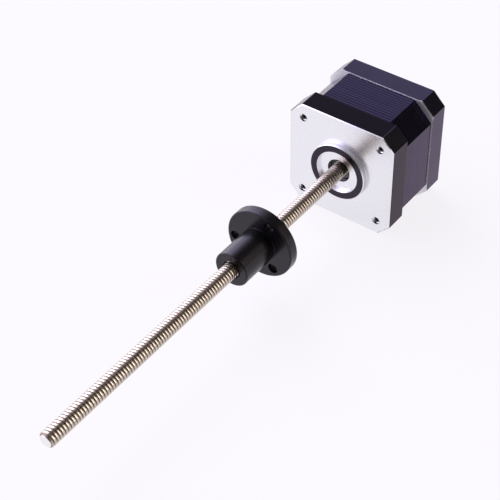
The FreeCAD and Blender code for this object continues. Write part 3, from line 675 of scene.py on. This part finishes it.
def finish_piece(name, shape, body, nodes, material):
    """Makes a bmesh a piece that rides on a body, in place of the CAD nodes that it stands for."""
    mesh = bpy.data.meshes.new(name)
    shape.to_mesh(mesh)
    shape.free()
    normals = mesh.attributes.get("custom_normal")
    if normals:
        mesh.attributes.remove(normals)
    mesh.materials.clear()
    mesh.materials.append(material)
    for face in mesh.polygons:
        face.material_index = 0
    made = bpy.data.objects.new(name, mesh)
    bpy.context.scene.collection.objects.link(made)
    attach(made, body)
    if nodes:
        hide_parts(*nodes)
    return made


def dress(node, material):
    """Gives a CAD node that stays as it is a finish."""
    slots = frame["nodes"][node].data.materials
    slots.clear()
    slots.append(material)


def sheet_stack(node, sizes):
    """A copy of a CAD node with a line between each two of its sheets."""
    low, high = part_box(node)
    shape = node_shape(node)
    score(shape, SCREW_AXIS, stations_between(low.x, high.x, sizes.sheet_pitch),
          2 * sizes.sheet_joint, sizes.sheet_joint)
    shade(shape)
    return shape


def rounded_node(node, width):
    """A copy of a CAD node with softened edges."""
    shape = node_shape(node)
    round_edges(shape, sharp_edges(shape), width, segments=2)
    shade(shape)
    return shape


def flatten(piece):
    """Keeps the flats of a rounded piece flat: its large faces lead the shading."""
    lead = piece.modifiers.new("Flat faces", "WEIGHTED_NORMAL")
    lead.mode = "FACE_AREA"
    lead.weight = 50
    lead.keep_sharp = True


class LEAD_MOTOR_OT_front_cap(bpy.types.Operator):
    """Front cap with its turned face and the threads of its mounting holes"""
    bl_idname = "lead_motor.front_cap"
    bl_label = "Front Cap"

    def execute(self, context):
        sizes, colours = context.scene.lead_motor_sizes, context.scene.lead_motor_colours
        material = front_cap_finish(sizes, colours)
        shape = rounded_node("front_cap", sizes.cap_round)
        flatten(finish_piece("front_cap_body", shape, "motor", ["front_cap"], material))
        self.threads(sizes, material)
        return {"FINISHED"}

    def threads(self, sizes, material):
        """The thread in each mounting hole, as one ridge on the wall of the hole."""
        shape = bmesh.new()
        pitch, start = sizes.bolt_pitch, -sizes.bolt_end
        wall, top = sizes.bolt_radius + SINK, sizes.bolt_radius - sizes.bolt_thread
        foot, crest = 0.42 * pitch, 0.07 * pitch
        points = [(start - foot, wall), (start - crest, top), (start + crest, top), (start + foot, wall)]
        for across, up in CORNER_SIGNS:
            before = set(shape.verts)
            ridge(shape, points, pitch, sizes.bolt_turns, steps=24)
            moved = [vert for vert in shape.verts if vert not in before]
            bmesh.ops.translate(shape, verts=moved,
                                vec=(0, across * sizes.bolt_place, up * sizes.bolt_place))
        settle(shape)
        finish_piece("mounting_threads", shape, "motor", [], material)


class LEAD_MOTOR_OT_rear_cap(bpy.types.Operator):
    """Rear cap with softened edges"""
    bl_idname = "lead_motor.rear_cap"
    bl_label = "Rear Cap"

    def execute(self, context):
        sizes, colours = context.scene.lead_motor_sizes, context.scene.lead_motor_colours
        shape = rounded_node("rear_cap", sizes.cap_round)
        flatten(finish_piece("rear_cap_body", shape, "motor", ["rear_cap"],
                             rear_cap_finish(colours)))
        return {"FINISHED"}


class LEAD_MOTOR_OT_stator(bpy.types.Operator):
    """Stator stack, sheet by sheet, with its windings and their insulators"""
    bl_idname = "lead_motor.stator"
    bl_label = "Stator and Windings"

    def execute(self, context):
        sizes, colours = context.scene.lead_motor_sizes, context.scene.lead_motor_colours
        shape = sheet_stack("stator_core", sizes)
        flatten(finish_piece("stator_stack", shape, "motor", ["stator_core"],
                             stator_finish(colours, sizes.sheet_pitch)))
        wire = winding_finish(colours)
        for node in COILS:
            self.winding(node, sizes, wire)
        plastic = plastic_finish("insulator_nylon", colours.plastic_dark, roughness=0.42)
        for node in ("front_insulator", "rear_insulator"):
            shape = rounded_node(node, sizes.plastic_round)
            flatten(finish_piece(node + "_moulding", shape, "motor", [node],
                                 plastic))
        return {"FINISHED"}

    def winding(self, node, sizes, material):
        """One winding, scored into turns of wire that lie one over the other along its pole."""
        low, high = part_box(node)
        outward = (low + high) / 2
        outward.x = 0
        outward.normalize()
        shape = node_shape(node)
        reach = [vert.co.dot(outward) for vert in shape.verts]
        score(shape, outward, stations_between(min(reach), max(reach), sizes.wire_pitch),
              0.45 * sizes.wire_pitch, sizes.wire_joint)
        shade(shape)
        finish_piece(node + "_wire", shape, "motor", [node], material)


class LEAD_MOTOR_OT_case_screws(bpy.types.Operator):
    """Case screws with a cross in each head"""
    bl_idname = "lead_motor.case_screws"
    bl_label = "Case Screws"

    def execute(self, context):
        sizes, colours = context.scene.lead_motor_sizes, context.scene.lead_motor_colours
        low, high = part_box("case_screws")
        head, shank, bevel = sizes.head_radius, sizes.shank_radius, sizes.head_bevel
        top, seat, end = low.x, low.x + sizes.head_height, high.x
        shape = bmesh.new()
        for across, up in CORNER_SIGNS:
            one = bmesh.new()
            lathe(one, [(top, 0), (top, head - bevel), (top + 0.3 * bevel, head - 0.3 * bevel),
                        (top + bevel, head), (seat, head), (seat, shank), (end - bevel, shank),
                        (end, shank - bevel), (end, 0)], steps=32)
            settle(one)
            self.cross(one, top, sizes)
            bmesh.ops.translate(one, verts=one.verts[:],
                                vec=(0, across * sizes.bolt_place, up * sizes.bolt_place))
            part = bpy.data.meshes.new("case_screw")
            one.to_mesh(part)
            one.free()
            shape.from_mesh(part)
            bpy.data.meshes.remove(part)
        shade(shape)
        finish_piece("case_screw_set", shape, "motor", ["case_screws"],
                     metal_finish("zinc_plate", colours.zinc, roughness=0.25,
                                  feature=0.12 * MM, depth=0.003 * MM))
        return {"FINISHED"}

    def cross(self, shape, top, sizes):
        """Sinks a cross with sloping walls into the face of a head at the given station."""
        half, reach = sizes.head_slot / 2, sizes.head_reach
        for normal in (Vector((0, 1, 0)), Vector((0, 0, 1))):
            for place in (-reach, -half, half, reach):
                faces = [face for face in shape.faces if abs(face.calc_center_median().x - top) < NEAR]
                parts = set(faces)
                parts.update(edge for face in faces for edge in face.edges)
                parts.update(vert for face in faces for vert in face.verts)
                bmesh.ops.bisect_plane(shape, geom=list(parts), dist=CUT,
                                       plane_co=normal * place, plane_no=normal)
        arms = []
        for face in shape.faces:
            middle = face.calc_center_median()
            across, up = sorted((abs(middle.y), abs(middle.z)))
            if abs(middle.x - top) < NEAR and across < half and up < reach:
                arms.append(face)
        sunk = bmesh.ops.extrude_face_region(shape, geom=arms)["geom"]
        bmesh.ops.delete(shape, geom=arms, context="FACES")
        verts = verts_of(sunk)
        bmesh.ops.scale(shape, verts=verts, vec=(1, sizes.head_taper, sizes.head_taper))
        bmesh.ops.translate(shape, verts=verts, vec=SCREW_AXIS * sizes.head_sink)
        bmesh.ops.recalc_face_normals(shape, faces=shape.faces[:])


class LEAD_MOTOR_OT_connector(bpy.types.Operator):
    """Connector housing, contact pins and terminal board"""
    bl_idname = "lead_motor.connector"
    bl_label = "Connector"

    def execute(self, context):
        sizes, colours = context.scene.lead_motor_sizes, context.scene.lead_motor_colours
        shell = rounded_node("connector_header", sizes.plastic_round)
        flatten(finish_piece("connector_shell", shell, "motor", ["connector_header"],
                             plastic_finish("connector_nylon", colours.plastic_white, roughness=0.38)))
        pins = rounded_node("connector_pins", 0.8 * sizes.plastic_round)
        flatten(finish_piece("contact_pins", pins, "motor", ["connector_pins"],
                             metal_finish("tin_plate", colours.tin, roughness=0.22,
                                          feature=0.15 * MM, depth=0.003 * MM)))
        dress("terminal_board", board_finish(colours))
        return {"FINISHED"}


class LEAD_MOTOR_OT_bearings(bpy.types.Operator):
    """Bearings with round balls, and the washer that loads them"""
    bl_idname = "lead_motor.bearings"
    bl_label = "Bearings"

    def execute(self, context):
        sizes, colours = context.scene.lead_motor_sizes, context.scene.lead_motor_colours
        steel = colours.steel
        ground = metal_finish("ground_bearing_steel", steel, roughness=0.14,
                              feature=0.08 * MM, depth=0.002 * MM)
        # Painted shade: the inner rings are darkened for the shade deep inside the caps.
        shaded_ring_finish = metal_finish("inner_ring_painted_shade_steel", colours.inner_ring_painted_shade, roughness=0.3,
                             feature=0.08 * MM, depth=0.002 * MM)
        polished = metal_finish("polished_ball_steel", steel, roughness=0.05,
                                feature=0.3 * MM, depth=0.0005 * MM)
        pressed = metal_finish("pressed_cage_steel", scaled(steel, 0.8), roughness=0.3,
                               feature=0.2 * MM, depth=0.004 * MM)
        for end in ("front", "rear"):
            dress(f"{end}_bearing_outer_ring", ground)
            dress(f"{end}_bearing_inner_ring", shaded_ring_finish)
            dress(f"{end}_bearing_cage", pressed)
            self.balls(end, sizes, polished)
        dress("wave_washer", pressed)
        return {"FINISHED"}

    def balls(self, end, sizes, material):
        """The balls of one bearing, evenly round the screw."""
        node = f"{end}_bearing_balls"
        low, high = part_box(node)
        middle = Matrix.Translation(((low.x + high.x) / 2, 0, sizes.ball_circle))
        shape = bmesh.new()
        for ball in range(sizes.ball_count):
            turn = Matrix.Rotation(FULL_TURN * ball / sizes.ball_count, 4, "X")
            bmesh.ops.create_uvsphere(shape, u_segments=24, v_segments=16,
                                      radius=(high.x - low.x) / 2, matrix=turn @ middle)
        shade(shape)
        finish_piece(f"{end}_ball_set", shape, f"{end}_balls", [node], material)


class LEAD_MOTOR_OT_rotor(bpy.types.Operator):
    """Toothed rotor cups sheet by sheet, with their magnet and sleeves"""
    bl_idname = "lead_motor.rotor"
    bl_label = "Rotor"

    def execute(self, context):
        sizes, colours = context.scene.lead_motor_sizes, context.scene.lead_motor_colours
        sheet = sheet_finish("rotor_sheets", colours.sheet_steel, sizes.sheet_pitch)
        for end in ("front", "rear"):
            node = f"{end}_rotor_cup"
            shape = sheet_stack(node, sizes)
            flatten(finish_piece(f"{end}_rotor_stack", shape, "rotor", [node], sheet))
        dress("rotor_magnet", metal_finish("sintered_magnet", colours.magnet, roughness=0.4,
                                           feature=0.4 * MM, depth=0.01 * MM))
        brass = metal_finish("turned_brass", colours.brass, roughness=0.2,
                             feature=0.15 * MM, depth=0.004 * MM)
        dress("front_spacer", brass)
        dress("rear_spacer", brass)
        return {"FINISHED"}


class LEAD_MOTOR_OT_lead_screw(bpy.types.Operator):
    """Lead screw with its whole thread, the groove behind it and its journal"""
    bl_idname = "lead_motor.lead_screw"
    bl_label = "Lead Screw"

    def execute(self, context):
        sizes, colours = context.scene.lead_motor_sizes, context.scene.lead_motor_colours
        low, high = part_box("lead_screw")
        crest, root, lead = high.z, sizes.thread_root, sizes.thread_lead
        start, end = -sizes.thread_start, high.x
        shape = bmesh.new()
        self.thread(shape, sizes, crest, math.floor(start / lead) - 1, math.ceil(end / lead) + 1)
        self.bevel_tip(shape, end, crest, sizes.tip_bevel)
        cut_end(shape, end, 1)
        bmesh.ops.edgeloop_fill(shape, edges=open_edges(shape, end))
        cut_end(shape, start, -1)
        groove, shoulder = root - sizes.neck_depth, start - sizes.neck_width
        journal, bevel = sizes.journal_radius, sizes.journal_bevel
        lathe(shape, [(start, groove), (shoulder, groove), (shoulder, journal),
                      (low.x + bevel, journal), (low.x, journal - bevel), (low.x, 0)],
              sizes.thread_steps)
        bmesh.ops.bridge_loops(shape, edges=open_edges(shape, start))
        settle(shape)
        finish_piece("lead_screw_thread", shape, "rotor", ["lead_screw"],
                     lead_screw_finish(colours, root, crest, end))
        return {"FINISHED"}

    def thread(self, shape, sizes, crest, first, last):
        """One turn of the thread, spun along its helix, then set side by side from first to last."""
        lead, root, steps = sizes.thread_lead, sizes.thread_root, sizes.thread_steps
        top, soft = sizes.thread_crest / 2, sizes.thread_round
        foot = top + sizes.thread_flank
        half = [(0, crest), (top - soft, crest), (top + 0.3 * soft, crest - 0.3 * soft),
                (foot - 0.4 * soft, root + 0.5 * soft), (foot + soft, root), (lead / 2, root)]
        points = [(-along, out) for along, out in reversed(half[1:])] + half
        bmesh.ops.spin(shape, geom=section(shape, points, False), cent=ORIGIN, axis=SCREW_AXIS,
                       dvec=SCREW_AXIS * (lead / steps), angle=FULL_TURN, steps=steps)
        turn = whole(shape)
        for place in range(first, last):
            copy = bmesh.ops.duplicate(shape, geom=turn)["geom"]
            bmesh.ops.translate(shape, verts=verts_of(copy), vec=SCREW_AXIS * (place * lead))
        bmesh.ops.delete(shape, geom=verts_of(turn), context="VERTS")
        bmesh.ops.remove_doubles(shape, verts=shape.verts[:], dist=WELD)

    def bevel_tip(self, shape, end, crest, bevel):
        """Turns the last crests down to a cone."""
        for vert in shape.verts:
            room = crest - max(0.0, vert.co.x - end + bevel)
            out = off_axis(vert.co)
            if out > room > 0:
                vert.co.y *= room / out
                vert.co.z *= room / out


class LEAD_MOTOR_OT_flange_nut(bpy.types.Operator):
    """Flange nut with its fillet, softened edges and inner thread"""
    bl_idname = "lead_motor.flange_nut"
    bl_label = "Flange Nut"

    def execute(self, context):
        sizes, colours = context.scene.lead_motor_sizes, context.scene.lead_motor_colours
        low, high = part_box("flange_nut")
        face = MOUNTS["nut_flange_face"]["pos_m"][0]
        barrel = MOUNTS["nut_barrel"]["dims"]["r_mm"] * MM
        shape = node_shape("flange_nut")
        ring = set(vert for vert in shape.verts if abs(vert.co.x - face) < NEAR
                   and abs(off_axis(vert.co) - barrel) < 5 * NEAR)
        foot = [edge for edge in shape.edges if ring.issuperset(edge.verts)]
        round_edges(shape, foot, sizes.nut_fillet, segments=5)
        round_edges(shape, sharp_edges(shape, NUT_EDGE_ANGLE), sizes.nut_round, segments=2)
        shade(shape)
        material = nut_finish(colours)
        flatten(finish_piece("flange_nut_body", shape, "nut", ["flange_nut"], material))
        self.thread(sizes, low.x, high.x, material)
        return {"FINISHED"}

    def thread(self, sizes, low, high, material):
        """The ridge inside the bore, which runs in the groove of the screw."""
        lead, gap, margin = sizes.thread_lead, sizes.thread_gap, sizes.nut_margin
        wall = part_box("lead_screw")[1].z + sizes.nut_gap + SINK
        top = sizes.thread_root + gap
        foot = lead / 2 - sizes.thread_crest / 2 - gap
        crest = foot - sizes.thread_flank
        first = math.ceil((low + margin) / lead) + 0.5
        turns = math.floor((high - margin) / lead - first)
        start = first * lead
        points = [(start - foot, wall), (start - crest, top), (start + crest, top), (start + foot, wall)]
        shape = bmesh.new()
        ridge(shape, points, lead, turns, sizes.thread_steps)
        settle(shape)
        finish_piece("flange_nut_thread", shape, "nut", [], material)


class LEAD_MOTOR_OT_stage(bpy.types.Operator):
    """Floor, light and camera"""
    bl_idname = "lead_motor.stage"
    bl_label = "Stage"

    def execute(self, context):
        stage = context.scene.lead_motor_stage
        self.floor(stage)
        self.world(context.scene, stage)
        self.lamp(context.scene, stage)
        self.camera(context.scene, stage)
        context.scene.view_settings.view_transform = "Standard"
        return {"FINISHED"}

    def floor(self, stage):
        """A plain pale floor that keeps its shadows, and is dark past its front in reflections only."""
        finish = Finish("studio_floor")
        pale, dark = (*stage.floor_colour, 1), (*stage.floor_far, 1)
        far = finish.mask(finish.x.larger(finish.y), stage.floor_front, stage.floor_end)
        near = finish.node("ShaderNodeBsdfDiffuse", sockets={"Color": pale})
        beyond = finish.node("ShaderNodeBsdfDiffuse", sockets={"Color": dark})
        paper = finish.node("ShaderNodeMixShader", sockets={0: far, 1: near, 2: beyond})
        glow = finish.node("ShaderNodeEmission", sockets={"Color": pale, "Strength": 1.0})
        path = finish.node("ShaderNodeLightPath")
        direct = path.out("Is Camera Ray").larger(path.out("Is Transmission Ray"))
        plain = stage.floor_glow + far * (1 - stage.floor_glow)
        share = (direct * plain).larger(path.out("Is Glossy Ray") * (1 - far) * stage.floor_glow)
        finish.end("ShaderNodeOutputMaterial",
                   finish.node("ShaderNodeMixShader", sockets={0: share, 1: paper, 2: glow}))
        shape = bmesh.new()
        bmesh.ops.create_grid(shape, x_segments=1, y_segments=1, size=stage.floor_size / 2,
                              matrix=Matrix.Translation((0, 0, CAD_BOX[0][2])))
        mesh = bpy.data.meshes.new("studio_floor")
        shape.to_mesh(mesh)
        shape.free()
        mesh.materials.append(finish.material)
        made = bpy.data.objects.new("studio_floor", mesh)
        bpy.context.scene.collection.objects.link(made)

    def world(self, scene, stage):
        """A pale wall with a window on the left, a screen on the right and a dark ceiling."""
        scene.world = bpy.data.worlds.new("studio")
        scene.world.use_nodes = True
        sky = Nodes(scene.world.node_tree, "Generated")
        left = -1 * sky.y
        horizon = (1 - sky.mask(sky.z, *HORIZON_TOP)) * (1 - sky.mask(sky.x, *HORIZON_END))
        wall = sky.mask(left, *WALL_EDGE)
        window = (sky.mask(left, *WINDOW_EDGE) * sky.mask(sky.x, *WINDOW_BACK)
                  * (1 - WINDOW_FADE * sky.mask(sky.x, *WINDOW_FRONT)))
        screen = (sky.mask(sky.y, *SCREEN_EDGE) * sky.mask(sky.x, *SCREEN_BACK)
                  * (1 - sky.mask(sky.x, *SCREEN_FRONT))
                  * sky.mask(sky.z, *SCREEN_FOOT) * (1 - sky.mask(sky.z, *SCREEN_TOP)))
        light = ((stage.room_light + stage.wall_light * wall).larger(horizon)
                 + stage.window_light * window + stage.right_light * screen)
        room = sky.blend(wall, stage.room_colour, stage.window_colour)
        tint = sky.blend(horizon, room, stage.floor_colour)
        sky.end("ShaderNodeOutputWorld",
                sky.node("ShaderNodeBackground", sockets={"Color": tint, "Strength": light}))

    def lamp(self, scene, stage):
        """A large soft lamp that faces the object."""
        place = stage.key_place
        light = bpy.data.lights.new("key_lamp", "AREA")
        light.shape = "SQUARE"
        light.size = stage.key_size
        light.energy = stage.key_power
        light.color = stage.key_colour
        made = bpy.data.objects.new("key_lamp", light)
        facing = (-place).to_track_quat("-Z", "Y").to_matrix().to_4x4()
        made.matrix_world = Matrix.Translation(place) @ facing
        scene.collection.objects.link(made)

    def camera(self, scene, stage):
        """A camera with the lens, place and turn of the photograph's."""
        turn, lift, roll = stage.azimuth, stage.elevation, stage.roll
        level = math.cos(lift)
        back = Vector((math.sin(turn) * level, -math.cos(turn) * level, math.sin(lift)))
        right = Vector((0, 0, 1)).cross(back).normalized()
        up = back.cross(right)
        side = right * math.cos(roll) + up * math.sin(roll)
        top = up * math.cos(roll) - right * math.sin(roll)
        view = bpy.data.cameras.new("photo_camera")
        view.sensor_fit = "HORIZONTAL"
        view.sensor_width = SENSOR_WIDTH
        view.lens = stage.lens
        view.clip_start, view.clip_end = 0.01, 20
        made = bpy.data.objects.new("photo_camera", view)
        facing = Matrix((side, top, back)).transposed().to_4x4()
        place = back * stage.distance - side * stage.across - top * stage.above
        made.matrix_world = Matrix.Translation(place) @ facing
        scene.collection.objects.link(made)
        scene.camera = made


class LEAD_MOTOR_PT_panel(bpy.types.Panel):
    """Lists the pieces and their settings"""
    bl_idname = "LEAD_MOTOR_PT_panel"
    bl_label = "Lead Screw Stepper Motor"
    bl_space_type = "VIEW_3D"
    bl_region_type = "UI"
    bl_category = "Motor"

    def draw(self, context):
        for operator in OPERATORS:
            self.layout.operator(operator.bl_idname)
        for group, kind in GROUPS.items():
            column = self.layout.column(align=True)
            for name in kind.__annotations__:
                column.prop(getattr(context.scene, group), name)


GROUPS = {
    "lead_motor_sizes": LeadMotorSizes,
    "lead_motor_colours": LeadMotorColours,
    "lead_motor_stage": LeadMotorStage,
}
OPERATORS = (
    LEAD_MOTOR_OT_front_cap,
    LEAD_MOTOR_OT_rear_cap,
    LEAD_MOTOR_OT_stator,
    LEAD_MOTOR_OT_case_screws,
    LEAD_MOTOR_OT_connector,
    LEAD_MOTOR_OT_bearings,
    LEAD_MOTOR_OT_rotor,
    LEAD_MOTOR_OT_lead_screw,
    LEAD_MOTOR_OT_flange_nut,
    LEAD_MOTOR_OT_stage,
)
CLASSES = (*GROUPS.values(), *OPERATORS, LEAD_MOTOR_PT_panel)


def register():
    for made in CLASSES:
        bpy.utils.register_class(made)
    for name, group in GROUPS.items():
        setattr(bpy.types.Scene, name, PointerProperty(type=group))


def unregister():
    for name in GROUPS:
        delattr(bpy.types.Scene, name)
    for made in reversed(CLASSES):
        bpy.utils.unregister_class(made)


def main():
    register()
    for operator in OPERATORS:
        getattr(bpy.ops.lead_motor, operator.bl_idname.split(".")[1])()


if __name__ == "__main__":
    main()
